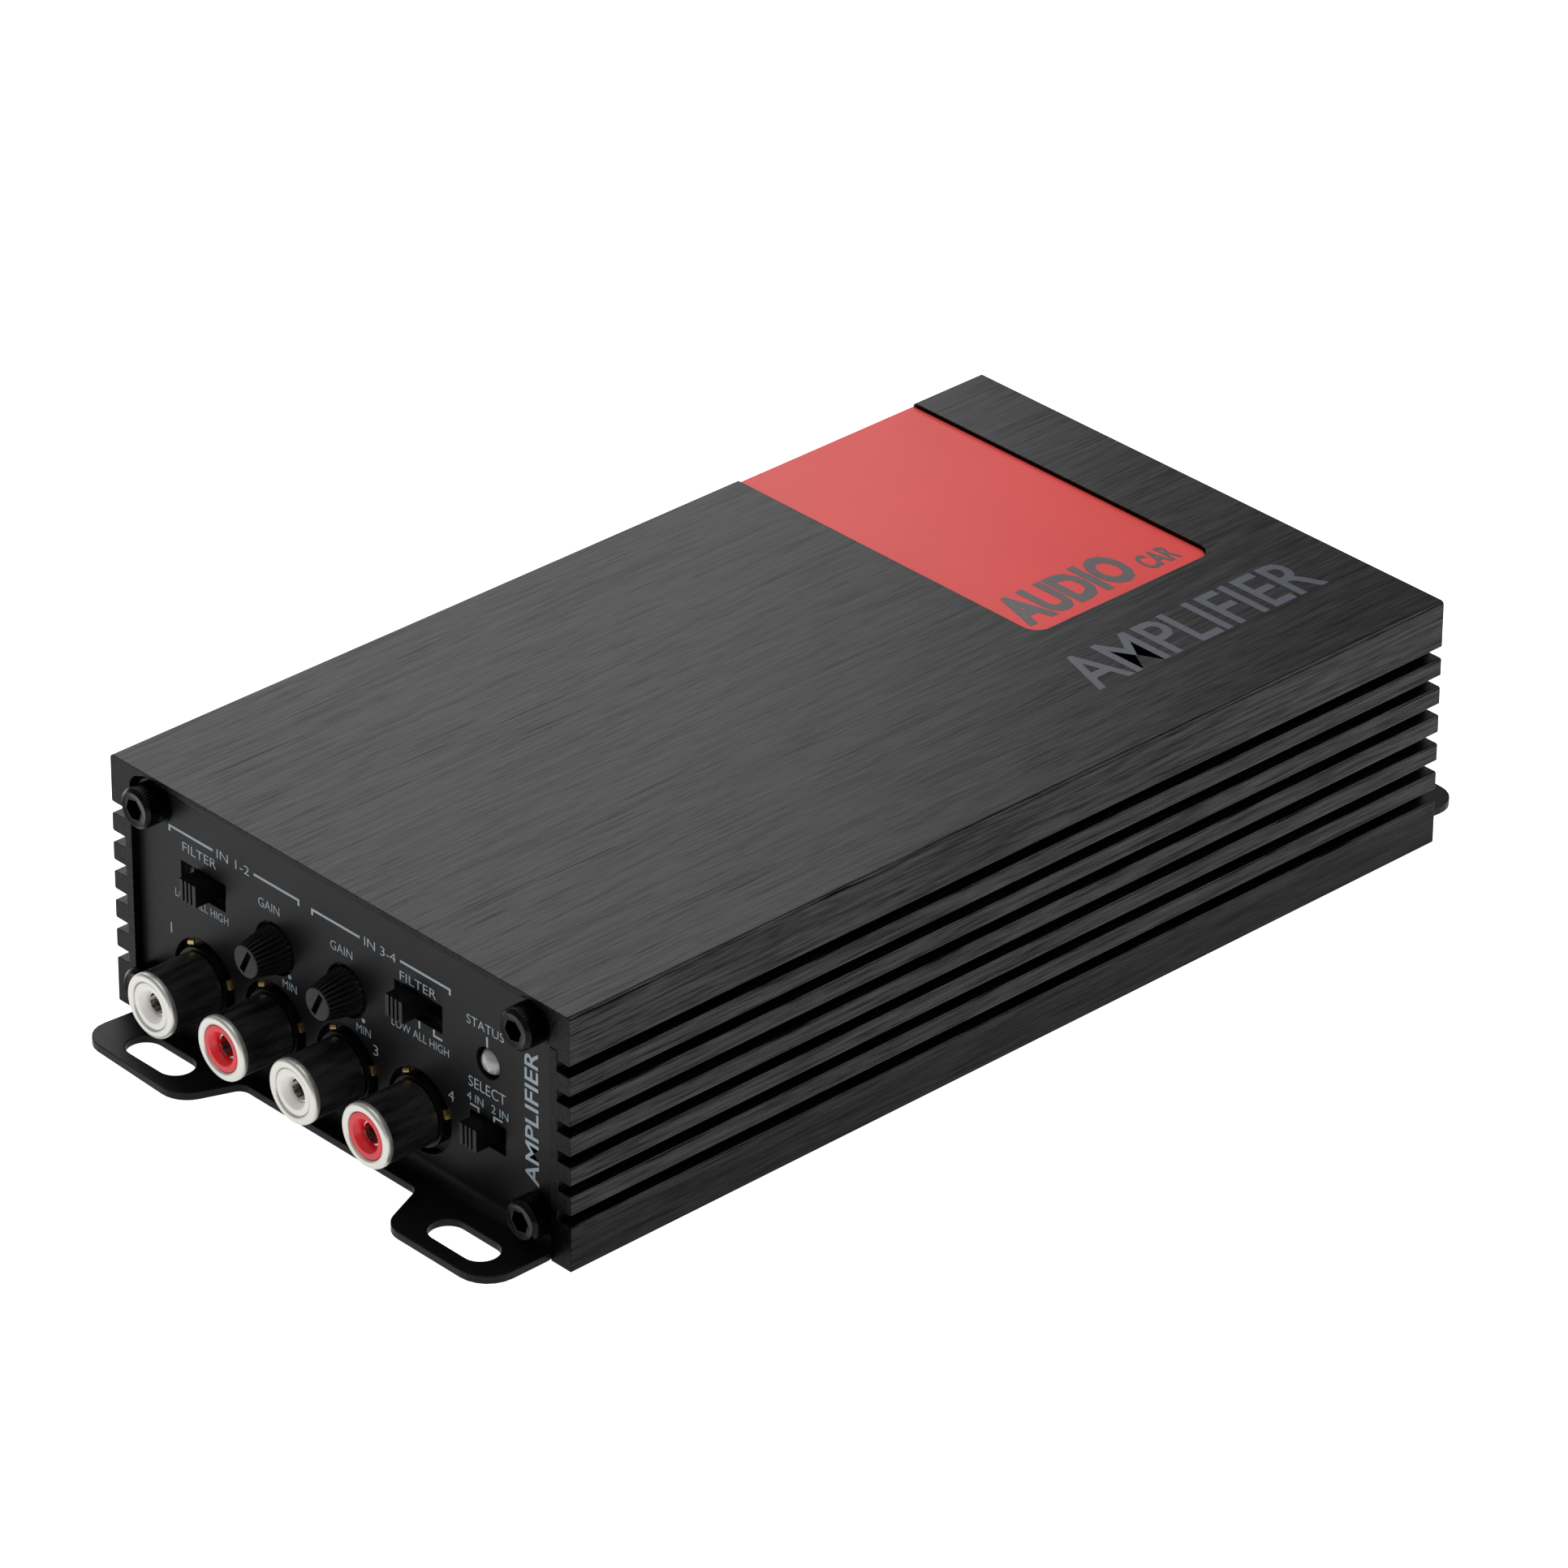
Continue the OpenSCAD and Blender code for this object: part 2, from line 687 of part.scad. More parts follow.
module blade_fuse() {
    color([0.9, 0.35, 0.1, 0.8]) {
        block([fuse_site[0] - 6.7, fuse_site[0] + 6.7], [rear_y - 3.9, rear_y + 3.2],
              [fuse_site[1] - 1.7, fuse_site[1] + 1.7]);
        block([fuse_site[0] - 6.7, fuse_site[0] + 6.7], [rear_y + 2.4, rear_y + 3.8],
              [fuse_site[1] - 1.9, fuse_site[1] + 1.9]);
    }
    color([0.8, 0.8, 0.8]) for (side = [-1, 1])
        block([fuse_site[0] + side * 3.9 - 1.3, fuse_site[0] + side * 3.9 + 1.3],
              [rear_y - 13.4, rear_y - 3.8], [fuse_site[1] - 0.33, fuse_site[1] + 0.33]);
}

// Power stage ---------------------------------------------------------------------------

module on_board(x, y) {
    translate([x, y, main_board_z + board_t]) children();
}

module supply_transformer() {
    color([0.2, 0.2, 0.22]) on_board(18, 18) difference() {
        translate([-11, -10, 0]) cube([22, 20, 15]);
        for (side = [-1, 1]) translate([-12, side * 5.9 - 2, 2.5]) cube([24, 4, 10]);
    }
    color([0.75, 0.45, 0.15]) on_board(18, 18) for (side = [-1, 1])
        translate([-8, side * 6 - 1.8, 2.7]) cube([16, 3.6, 9.6]);
}

module ring_coil(x, y, ring_r, tube_r) {
    on_board(x, y) translate([0, 0, tube_r]) rotate_extrude()
        translate([ring_r, 0]) circle(r = tube_r, $fn = 32);
}

module input_choke() {
    color([0.7, 0.4, 0.15]) ring_coil(21, 42, 5.5, 2.6);
}

module output_inductors() {
    color([0.65, 0.35, 0.12]) for (i = [0:3]) ring_coil(-28 + i * 11.4, 38, 3.6, 1.9);
}

module bulk_capacitors() {
    color([0.12, 0.14, 0.3]) for (i = [0:1], j = [0:1]) on_board(-24 + i * 12, 6 + j * 12)
        cylinder(r = 5, h = 17);
}

module power_transistors() {
    body_w = 10;
    lead_w = 0.8;
    lead_pitch = 2.54;
    centres = [for (i = [0:3]) -31 + i * 13];
    color([0.1, 0.1, 0.1]) for (y = centres)
        block([wall_in_x - 5.1, wall_in_x - 0.6], [y - body_w / 2, y + body_w / 2], [13, 22]);
    color([0.8, 0.8, 0.8]) for (y = centres, j = [-1:1])
        block([wall_in_x - 3, wall_in_x - 2.4],
              [y + j * lead_pitch - lead_w / 2, y + j * lead_pitch + lead_w / 2],
              [main_board_z + board_t, 13.1]);
}

module thermal_pad() {
    color([0.75, 0.75, 0.7]) difference() {
        block([wall_in_x - 0.5, wall_in_x - 0.02], [-38, 15], [12, 26]);
        clamp_bores(wall_in_x - overcut, wall_in_x + overcut, screw_hole_r);
    }
}

// Rods along X at the two clamp screws
module clamp_bores(x0, x1, r) {
    for (y = clamp_screw_y) translate([x0, y, clamp_z]) rotate([0, 90, 0]) cylinder(r = r, h = x1 - x0);
}

module transistor_clamp() {
    color([0.7, 0.7, 0.72]) difference() {
        block([clamp_x, clamp_x + 2], [-37, 14], [clamp_z - 2.5, clamp_z + 2.5]);
        clamp_bores(clamp_x - overcut, clamp_x + 2 + overcut, screw_hole_r);
    }
}

module clamp_screws() {
    color([0.75, 0.75, 0.78]) {
        clamp_bores(clamp_x - 2, clamp_x, 2.6);
        clamp_bores(clamp_x - 1, wall_in_x + clamp_thread - 0.1, shank_r);
    }
}

module amplifier_chip() {
    color([0.08, 0.08, 0.08]) on_board(-14, -24) translate([-7, -9, 0]) cube([14, 18, 3]);
}

module heat_spreader() {
    w = 22;
    l = 24;
    thin_fins = 6;
    thin_fin_w = 1.2;
    pitch = (w - thin_fin_w) / (thin_fins - 1);
    color([0.72, 0.72, 0.74]) on_board(-14, -24) translate([-w / 2, -l / 2, 3.05]) {
        cube([w, l, 2]);
        for (i = [0:thin_fins - 1]) translate([i * pitch, 0, 1.95]) cube([thin_fin_w, l, 7]);
    }
}

module wireless_module() {
    color([0.05, 0.25, 0.4]) on_board(10, -34) {
        translate([-6, -8, 0]) cube([12, 16, 1]);
        translate([-5.2, -7, 1]) cube([10.4, 10, 1.6]);
    }
}

top_cover();
lower_chassis();
front_bracket();
rear_bracket();
window_panel();
window_light_board();
window_light_ribbon();
front_screws();
rear_screws();
lock_washers();
rca_shell(0);  // rca_shell_1
rca_shell(1);  // rca_shell_2
rca_shell(2);  // rca_shell_3
rca_shell(3);  // rca_shell_4
rca_insulator(0);  // rca_insulator_1
rca_insulator(1);  // rca_insulator_2
rca_insulator(2);  // rca_insulator_3
rca_insulator(3);  // rca_insulator_4
rca_contacts();
rca_housings();
level_knob(0);  // front_level_knob
level_knob(1);  // rear_level_knob
level_pot(0);  // front_level_pot
level_pot(1);  // rear_level_pot
switch_slider(front_filter);  // front_filter_slider
switch_slider(rear_filter);  // rear_filter_slider
switch_slider(mode);  // mode_slider
switch_body(front_filter, 2);  // front_filter_switch
switch_body(rear_filter, 2);  // rear_filter_switch
switch_body(mode, 1);  // mode_switch
status_lamp();
control_board();
main_board();
link_header();
board_standoffs();
board_screws();
power_socket();
power_blades();
speaker_socket();
speaker_pins();
fuse_holder();
blade_fuse();
supply_transformer();
input_choke();
output_inductors();
bulk_capacitors();
power_transistors();
transistor_clamp();
clamp_screws();
thermal_pad();
amplifier_chip();
heat_spreader();
wireless_module();
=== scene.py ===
"""Looks of a compact finned car amplifier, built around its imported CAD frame.

Metres, +Z up, the input end faces -Y. Lengths written as mm(...) are millimetres.
"""
import json
import math

import bmesh
import bpy
from mathutils import Matrix, Vector


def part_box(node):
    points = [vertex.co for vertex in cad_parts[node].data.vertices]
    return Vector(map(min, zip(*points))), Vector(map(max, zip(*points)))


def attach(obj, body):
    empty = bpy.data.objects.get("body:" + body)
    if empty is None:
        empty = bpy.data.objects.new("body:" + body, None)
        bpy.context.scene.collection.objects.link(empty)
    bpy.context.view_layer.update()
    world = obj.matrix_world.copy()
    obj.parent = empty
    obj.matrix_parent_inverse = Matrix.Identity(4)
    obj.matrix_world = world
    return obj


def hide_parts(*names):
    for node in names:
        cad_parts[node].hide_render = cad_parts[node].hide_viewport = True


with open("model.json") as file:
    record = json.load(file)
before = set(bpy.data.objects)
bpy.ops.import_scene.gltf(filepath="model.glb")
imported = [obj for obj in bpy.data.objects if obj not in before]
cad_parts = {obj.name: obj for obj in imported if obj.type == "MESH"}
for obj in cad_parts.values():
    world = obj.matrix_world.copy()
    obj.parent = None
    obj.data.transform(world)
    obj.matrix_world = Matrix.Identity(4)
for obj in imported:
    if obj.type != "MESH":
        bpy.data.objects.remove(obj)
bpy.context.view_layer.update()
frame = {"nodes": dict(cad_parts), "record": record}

MM = 0.001
BODY = "amplifier"


def mm(*values):
    """One length, or a point, given in millimetres."""
    scaled = [v * MM for v in values]
    return scaled[0] if len(scaled) == 1 else Vector(scaled)


# Places read from the frame ---------------------------------------------------

cover_low, cover_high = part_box("top_cover")
front_y = cover_low.y
left_x = cover_low.x
top_z = cover_high.z
PLATE_RECESS = 1.05     # faceplate behind the ends of the extrusions, mm
plate_y = front_y + mm(PLATE_RECESS)
window_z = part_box("window_panel")[1].z


def centre(node):
    low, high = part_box(node)
    return (low + high) / 2


# Materials ---------------------------------------------------------------------

def linear(r, g, b):
    """Scene-linear colour of an sRGB colour given as 0 to 255."""
    def channel(v):
        v /= 255
        return v / 12.92 if v <= 0.04045 else ((v + 0.055) / 1.055) ** 2.4
    return (channel(r), channel(g), channel(b), 1.0)


class Finish:
    """A Principled material with small helpers for its procedural detail."""

    def __init__(self, name, colour, **sockets):
        self.material = bpy.data.materials.new(name)
        self.material.use_nodes = True
        self.tree = self.material.node_tree
        self.shader = self.tree.nodes["Principled BSDF"]
        self.shader.inputs["Base Color"].default_value = colour
        self.colour = colour
        for socket, value in sockets.items():
            self.shader.inputs[socket.replace("_", " ")].default_value = value

    def node(self, kind, **settings):
        made = self.tree.nodes.new(kind)
        for name, value in settings.items():
            setattr(made, name, value)
        return made

    def link(self, source, target):
        self.tree.links.new(source, target)

    def position(self, stretch):
        """Object coordinates in metres, multiplied by stretch."""
        mapping = self.node("ShaderNodeMapping")
        mapping.inputs["Scale"].default_value = stretch
        self.link(self.node("ShaderNodeTexCoord").outputs["Object"], mapping.inputs["Vector"])
        return mapping.outputs["Vector"]

    def noise(self, stretch, detail=2.0, rough=0.5):
        made = self.node("ShaderNodeTexNoise")
        made.inputs["Scale"].default_value = 1.0
        made.inputs["Detail"].default_value = detail
        made.inputs["Roughness"].default_value = rough
        self.link(self.position(stretch), made.inputs["Vector"])
        return made.outputs["Fac"]

    def blend(self, a, b, share):
        """share of b added to the rest of a."""
        made = self.node("ShaderNodeMix")
        made.inputs["Factor"].default_value = share
        self.link(a, made.inputs["A"])
        self.link(b, made.inputs["B"])
        return made.outputs["Result"]

    def spread(self, factor, low, high, start=0.3, end=0.7):
        made = self.node("ShaderNodeMapRange")
        made.inputs["From Min"].default_value = start
        made.inputs["From Max"].default_value = end
        made.inputs["To Min"].default_value = low
        made.inputs["To Max"].default_value = high
        self.link(factor, made.inputs["Value"])
        return made.outputs["Result"]

    def tint(self, factor, dark, light, start=0.3, end=0.7):
        """Base colour that runs from dark to light times the finish's colour."""
        ramp = self.node("ShaderNodeValToRGB")
        stops = ramp.color_ramp.elements
        for stop, place, share in ((stops[0], start, dark), (stops[1], end, light)):
            stop.position = place
            stop.color = (*(c * share for c in self.colour[:3]), 1.0)
        self.link(factor, ramp.inputs["Fac"])
        self.link(ramp.outputs["Color"], self.shader.inputs["Base Color"])
        return self

    def roughness(self, factor, low, high):
        self.link(self.spread(factor, low, high), self.shader.inputs["Roughness"])
        return self

    def along(self, coordinate, axis):
        """One axis of a texture coordinate such as Object or Normal."""
        parts = self.node("ShaderNodeSeparateXYZ")
        self.link(self.node("ShaderNodeTexCoord").outputs[coordinate], parts.inputs["Vector"])
        return parts.outputs[axis]

    def times(self, share):
        """Base colour multiplied by a varying share."""
        mixed = self.node("ShaderNodeVectorMath", operation="MULTIPLY")
        base = self.shader.inputs["Base Color"]
        self.link(base.links[0].from_socket, mixed.inputs[0])
        self.link(share, mixed.inputs[1])
        self.link(mixed.outputs["Vector"], base)
        return self

    def shaded_below(self, height, share):
        """Darkens the colour below a height, where the floor's light doesn't reach."""
        fade = self.spread(self.along("Object", "Z"), share, 1.0, height - mm(2), height + mm(1))
        return self.times(fade)

    def painted_shade_on_ends(self, share):
        """Painted shade: darkens the colour of the sawn faces square to Y."""
        facing = self.node("ShaderNodeMath", operation="ABSOLUTE")
        self.link(self.along("Normal", "Y"), facing.inputs[0])
        return self.times(self.spread(facing.outputs["Value"], 1.0, share, 0.6, 0.95))

    def rounded(self, radius):
        """Shades hard edges as if they had this radius."""
        made = self.node("ShaderNodeBevel", samples=6)
        made.inputs["Radius"].default_value = radius
        self.link(made.outputs["Normal"], self.shader.inputs["Normal"])
        return self

    def bump(self, factor, depth, strength=1.0):
        made = self.node("ShaderNodeBump")
        under = self.shader.inputs["Normal"]
        if under.is_linked:
            self.link(under.links[0].from_socket, made.inputs["Normal"])
        made.inputs["Strength"].default_value = strength
        made.inputs["Distance"].default_value = depth
        self.link(factor, made.inputs["Height"])
        self.link(made.outputs["Normal"], self.shader.inputs["Normal"])
        return self


def brushed(name, colour, low, high, contrast, edge=0.0, **sockets):
    """Metal brushed along Y: short streaks of several widths and some dark scratches."""
    f = Finish(name, colour, **sockets)
    fine = f.noise((6500, 260, 6500), 2.0, 0.6)
    wide = f.noise((2600, 90, 2600), 2.0, 0.6)
    streaks = f.blend(fine, wide, 0.6)
    scratch = f.spread(f.noise((3600, 60, 3600), 1.0), 0.35, 0.0, 0.24, 0.34)
    shade = f.node("ShaderNodeMath", operation="SUBTRACT")
    f.link(streaks, shade.inputs[0])
    f.link(scratch, shade.inputs[1])
    f.tint(shade.outputs["Value"], 1 - contrast, 1 + contrast, 0.34, 0.66)
    f.roughness(streaks, low, high)
    if edge:
        f.rounded(mm(edge))
    return f.bump(streaks, mm(0.01), 0.5)


def moulded(name, colour, rough=0.45, grain=2500, depth=0.004, shade=0.12, **sockets):
    """Plastic with a fine moulded grain and slight unevenness of colour."""
    f = Finish(name, colour, Roughness=rough, **sockets)
    f.tint(f.noise((300, 300, 300), 2.0), 1 - shade, 1 + shade)
    skin = f.noise((grain, grain, grain), 3.0)
    f.roughness(skin, rough * 0.85, rough * 1.15)
    return f.bump(skin, mm(depth), 0.6).material


def metal(name, colour, rough=0.25, shade=0.15, grain=900, **sockets):
    """Plated metal with faint smudges."""
    f = Finish(name, colour, Metallic=1.0, Roughness=rough, **sockets)
    smudge = f.noise((grain, grain, grain), 3.0)
    f.tint(smudge, 1 - shade, 1 + shade)
    return f.roughness(smudge, rough * 0.7, rough * 1.3).material


def wound(name, colour):
    """Enamelled wire: ridges from a wave across the winding, with painted shade in the grooves between turns
    and painted sheen on the crests.
    """
    f = Finish(name, colour, Metallic=1.0, Roughness=0.35)
    wave = f.node("ShaderNodeTexWave", bands_direction="X")
    wave.inputs["Scale"].default_value = 1.0
    wave.inputs["Distortion"].default_value = 1.5
    f.link(f.position((900, 900, 900)), wave.inputs["Vector"])
    # painted shade and sheen: the colour is darker in the wave's troughs and lighter on its crests
    f.tint(wave.outputs["Fac"], 0.45, 1.15, 0.2, 0.8)
    return f.bump(wave.outputs["Fac"], mm(0.15), 0.8).material


def powder_coat():
    """Satin black paint, thick enough to round every edge of the sheet."""
    f = Finish("black_paint", linear(14, 14, 14), Specular_IOR_Level=0.15)
    skin = f.noise((5200, 5200, 5200), 3.0)
    f.tint(f.noise((260, 260, 260), 2.0), 0.85, 1.15)
    f.roughness(skin, 0.36, 0.48)
    f.rounded(mm(0.3))
    return f.bump(skin, mm(0.008), 0.5).material


def acrylic():
    """Red panel, evenly lit, with a slightly clouded body."""
    f = Finish("red_acrylic", linear(216, 70, 68), Roughness=0.34, Specular_IOR_Level=0.15)
    clouds = f.blend(f.noise((60, 60, 60), 2.0), f.noise((3500, 3500, 3500), 2.0), 0.35)
    f.tint(clouds, 0.96, 1.06)
    return f.material


def shell_plating():
    """Black nickel barrel, with painted reflection: light and dark streaks along its length in the colour."""
    f = Finish("black_nickel", linear(58, 58, 60), Metallic=0.45)
    painted_reflection_streaks = f.noise((900, 160, 900), 2.0)
    # painted reflection: the streaks lighten and darken the barrel's colour along Y
    f.tint(painted_reflection_streaks, 0.35, 1.5)
    return f.roughness(painted_reflection_streaks, 0.2, 0.34).material


def rim_plating():
    """Satin nickel without marks, lifted a little so that it stays bright all round."""
    f = Finish("satin_nickel", linear(210, 209, 202), Metallic=0.9)
    skin = f.noise((1500, 1500, 1500), 2.0)
    f.tint(skin, 0.98, 1.02)
    return f.roughness(skin, 0.36, 0.44).material


def circuit_board(name, colour):
    f = Finish(name, colour, Roughness=0.35, Coat_Weight=0.5)
    cells = f.node("ShaderNodeTexVoronoi", feature="F1", distance="CHEBYCHEV")
    cells.inputs["Scale"].default_value = 1.0
    f.link(f.position((420, 420, 420)), cells.inputs["Vector"])
    f.tint(cells.outputs["Distance"], 0.7, 1.3, 0.2, 0.5)
    return f.bump(cells.outputs["Distance"], mm(0.03), 0.4).material


def lens():
    """Frosted clear epoxy over a pale lead frame."""
    f = Finish("clear_lens", linear(154, 154, 156), Roughness=0.2, Coat_Weight=1.0, Coat_Roughness=0.04)
    f.tint(f.noise((500, 500, 500), 2.0), 0.8, 1.15)
    return f.material


FINISHES = {
    # black anodised: painted shade, darker below 6.2 mm and on the ends square to Y
    "black_anodised": brushed("black_anodised", linear(42, 42, 42), 0.30, 0.46, 0.95, 0.15,
                              Metallic=1.0).shaded_below(mm(6.2), 0.42).painted_shade_on_ends(0.38).material,
    "black_paint": powder_coat(),
    "red_acrylic": acrylic(),
    "black_oxide": metal("black_oxide", linear(27, 27, 28), 0.30),
    "nickel": metal("nickel", linear(226, 224, 218), 0.26, 0.05),
    "white_plastic": moulded("white_plastic", linear(240, 239, 235), 0.35, shade=0.03),
    "red_plastic": moulded("red_plastic", linear(222, 26, 38), 0.30, shade=0.06),
    "gold": metal("gold", linear(170, 144, 92), 0.3),
    "black_plastic": moulded("black_plastic", linear(11, 11, 12), 0.36, Specular_IOR_Level=0.2),
    "pot_blue": moulded("pot_blue", linear(40, 60, 92), 0.5),
    "tinned_steel": metal("tinned_steel", linear(178, 178, 182), 0.35),
    "clear_lens": lens(),
    "circuit_board": circuit_board("circuit_board", linear(20, 92, 56)),
    "white_board": moulded("white_board", linear(226, 226, 222), 0.4, shade=0.05),
    "brass": metal("brass", linear(206, 176, 104), 0.3),
    "ivory_plastic": moulded("ivory_plastic", linear(222, 214, 190), 0.45, shade=0.05),
    "orange_plastic": moulded("orange_plastic", linear(232, 104, 30), 0.3, shade=0.08, Coat_Weight=0.4),
    "ferrite": moulded("ferrite", linear(58, 58, 62), 0.6),
    "copper_wire": wound("copper_wire", linear(196, 112, 58)),
    "capacitor_sleeve": moulded("capacitor_sleeve", linear(30, 34, 66), 0.3),
    "grey_silicone": moulded("grey_silicone", linear(150, 150, 148), 0.7),
    "bare_aluminium": brushed("bare_aluminium", linear(204, 204, 206), 0.25, 0.4, 0.08,
                              Metallic=1.0).material,
}
BLACK_NICKEL = shell_plating()
SATIN_NICKEL = rim_plating()
LEGEND = moulded("legend_ink", linear(146, 160, 170), 0.55, shade=0.08)
TOP_MARK = moulded("top_mark_ink", linear(66, 69, 80), 0.42, shade=0.06)
WINDOW_MARK = moulded("window_mark_ink", linear(74, 66, 68), 0.42, shade=0.06)

slot_of = {part["node"]: part["material_slot"] for part in frame["record"]["subparts"]}
for name, node in frame["nodes"].items():
    for place in node.material_slots:
        place.material = FINISHES[slot_of[name]]


# Mesh building -------------------------------------------------------------------

def piece(name, bm, materials, body=BODY, smooth=None):
    """Turns a bmesh into a piece that rides on a body; smooth is the sharpest smoothed angle, in degrees."""
    bmesh.ops.recalc_face_normals(bm, faces=bm.faces)
    mesh = bpy.data.meshes.new(name)
    bm.to_mesh(mesh)
    bm.free()
    if smooth:
        mesh.shade_smooth()
        mesh.set_sharp_from_angle(angle=math.radians(smooth))
    for material in materials:
        mesh.materials.append(material)
    made = bpy.data.objects.new(name, mesh)
    bpy.context.scene.collection.objects.link(made)
    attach(made, body)
    return made


def lathe(bm, profile, origin, segments=96, index=0):
    """Closed profile of (radius, depth along +Y) in mm, turned about the Y axis through origin."""
    rings = []
    for radius, depth in profile:
        ring = []
        for i in range(segments):
            a = 2 * math.pi * i / segments
            ring.append(bm.verts.new(origin + mm(radius * math.cos(a), depth, radius * math.sin(a))))
        rings.append(ring)
    for k, ring in enumerate(rings):
        after = rings[(k + 1) % len(rings)]
        for i in range(segments):
            j = (i + 1) % segments
            face = bm.faces.new((ring[i], ring[j], after[j], after[i]))
            face.material_index = index(k) if callable(index) else index


def arc(cx, cy, r, start, end, steps=6):
    """Points of an arc in a profile; angles in degrees from the radius axis."""
    span = [math.radians(start + (end - start) * i / steps) for i in range(steps + 1)]
    return [(cx + r * math.cos(a), cy + r * math.sin(a)) for a in span]


def prism(outline, low, high, to_world):
    """Closed solid on an outline of (u, v) mm between two heights; to_world places (u, v, h)."""
    bm = bmesh.new()
    rings = [[bm.verts.new(to_world(u, v, h)) for u, v in outline] for h in (low, high)]
    count = len(outline)
    for i in range(count):
        j = (i + 1) % count
        bm.faces.new((rings[0][i], rings[0][j], rings[1][j], rings[1][i]))
    bm.faces.new(rings[0][::-1])
    bm.faces.new(rings[1])
    bmesh.ops.recalc_face_normals(bm, faces=bm.faces)
    return bm


def carve(bm, cutter):
    """The solid in bm with the solid in cutter taken out."""
    objects = []
    for source in (bm, cutter):
        bmesh.ops.recalc_face_normals(source, faces=source.faces)
        mesh = bpy.data.meshes.new("carve")
        source.to_mesh(mesh)
        source.free()
        objects.append(bpy.data.objects.new("carve", mesh))
        bpy.context.scene.collection.objects.link(objects[-1])
    solid, tool = objects
    cut = solid.modifiers.new("cut", "BOOLEAN")
    cut.operation = "DIFFERENCE"
    cut.solver = "EXACT"
    cut.object = tool
    bpy.context.view_layer.update()
    result = bmesh.new()
    result.from_mesh(solid.evaluated_get(bpy.context.evaluated_depsgraph_get()).data)
    for made in objects:
        mesh = made.data
        bpy.data.objects.remove(made)
        bpy.data.meshes.remove(mesh)
    return result


def merge(parts):
    """One bmesh from several, which are freed."""
    whole = bmesh.new()
    for part in parts:
        mesh = bpy.data.meshes.new("merge")
        part.to_mesh(mesh)
        part.free()
        whole.from_mesh(mesh)
        bpy.data.meshes.remove(mesh)
    return whole


# Solids turned about Y, with flutes -------------------------------------------------

def fluted(rings, flutes, per_flute, depth, origin, inward=1):
    """Turned solid from (radius, distance inward, share of the flute's depth) rings in mm."""
    count = flutes * per_flute
    bm = bmesh.new()
    rows = []
    for radius, distance, share in rings:
        row = []
        for k in range(count):
            a = 2 * math.pi * k / count
            groove = (0.5 + 0.5 * math.cos(flutes * a)) ** 2
            r = radius - depth * share * groove
            row.append(bm.verts.new(origin + mm(r * math.cos(a), inward * distance, r * math.sin(a))))
        rows.append(row)
    for row, after in zip(rows, rows[1:]):
        for k in range(count):
            j = (k + 1) % count
            bm.faces.new((row[k], row[j], after[j], after[k]))
    bm.faces.new(rows[0][::-1])
    bm.faces.new(rows[-1])
    return bm


# Screws ------------------------------------------------------------------------------

SHANK_R = 1.45


def cap_head():
    """Knurled cap head with a bevelled rim round a flat face."""
    return [(1.95, 0.03, 0), (2.0, 0.0, 0), (2.2, 0.0, 0), (2.27, 0.05, 0), (2.62, 0.42, 0), (2.65, 0.5, 0),
            (2.65, 0.6, 1), (2.65, 2.75, 1), (2.6, 2.9, 0), (2.55, 3.0, 0)]


def button_head():
    dome = [(1.6 + 1.1 * math.sin(math.radians(a)), 1.4 * (1 - math.cos(math.radians(a))), 0)
            for a in range(0, 91, 10)]
    return dome + [(2.7, 1.6, 0), (2.66, 1.65, 0)]


def socket_screw(x, z, face_y, inward, length, head, hex_af, hex_depth):
    """Hex socket screw with its head's front at face_y; inward is +1 or -1 along Y."""
    origin = Vector((x, face_y, z))
    shank = [(SHANK_R, head[-1][1], 0), (SHANK_R, length - 0.4, 0), (SHANK_R - 0.4, length, 0)]
    bm = fluted(head + shank, 40, 6, 0.07, origin, inward)
    corner = hex_af / 2 / math.cos(math.pi / 6)
    turned = [math.radians(60 * i + 12) for i in range(6)]
    hexagon = [(corner * math.cos(a), corner * math.sin(a)) for a in turned]
    return carve(bm, prism(hexagon, -1, hex_depth, lambda u, v, h: origin + mm(u, inward * h, v)))


def screw_set(node, front, head, hex_af, hex_depth):
    """Four screws at the centres of the CAD node's own four heads."""
    low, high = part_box(node)
    vertices = [v.co for v in frame["nodes"][node].data.vertices]
    face_y, inward = (low.y, 1) if front else (high.y, -1)
    face = [v for v in vertices if abs(v.y - face_y) < mm(0.01)]
    middle = (low + high) / 2
    screws = []
    for side_x in (-1, 1):
        for side_z in (-1, 1):
            around = [v for v in face if (v.x - middle.x) * side_x > 0 and (v.z - middle.z) * side_z > 0]
            x = (min(v.x for v in around) + max(v.x for v in around)) / 2
            z = (min(v.z for v in around) + max(v.z for v in around)) / 2
            screws.append(socket_screw(x, z, face_y, inward, (high.y - low.y) / MM, head, hex_af, hex_depth))
    made = piece(node + "_detail", merge(screws), [FINISHES["black_oxide"]], smooth=35)
    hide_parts(node)


screw_set("front_screws", True, cap_head(), 2.5, 1.6)
screw_set("rear_screws", False, button_head(), 2.0, 1.0)


# RCA jacks --------------------------------------------------------------------------

